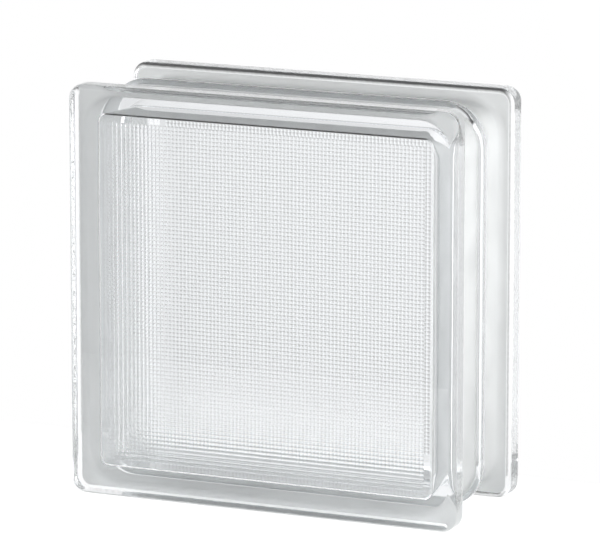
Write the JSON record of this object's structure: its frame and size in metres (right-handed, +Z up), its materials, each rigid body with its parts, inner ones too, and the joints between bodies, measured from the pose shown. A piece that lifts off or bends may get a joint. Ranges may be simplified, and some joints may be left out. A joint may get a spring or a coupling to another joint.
{
  "type": "glass block",
  "caption": "Hollow square glass block for walls: two pressed glass shells fused at mid depth, with rims, a mortar channel and a fine grid relief.",
  "frame": {"origin": "centre of the block's footprint, on the floor it stands on", "axes": "+Z up, X along the width, +Y through the depth from the front pane to the rear pane"},
  "size_m": [0.19, 0.08, 0.19],
  "materials": {
    "clear_glass": "clear pressed soda-lime glass, smooth faces, fine grid relief on the inner faces, white coating in the mortar channels"
  },
  "bodies": {
    "root": {"front_half": "clear_glass", "rear_half": "clear_glass"}
  },
  "joints": []
}
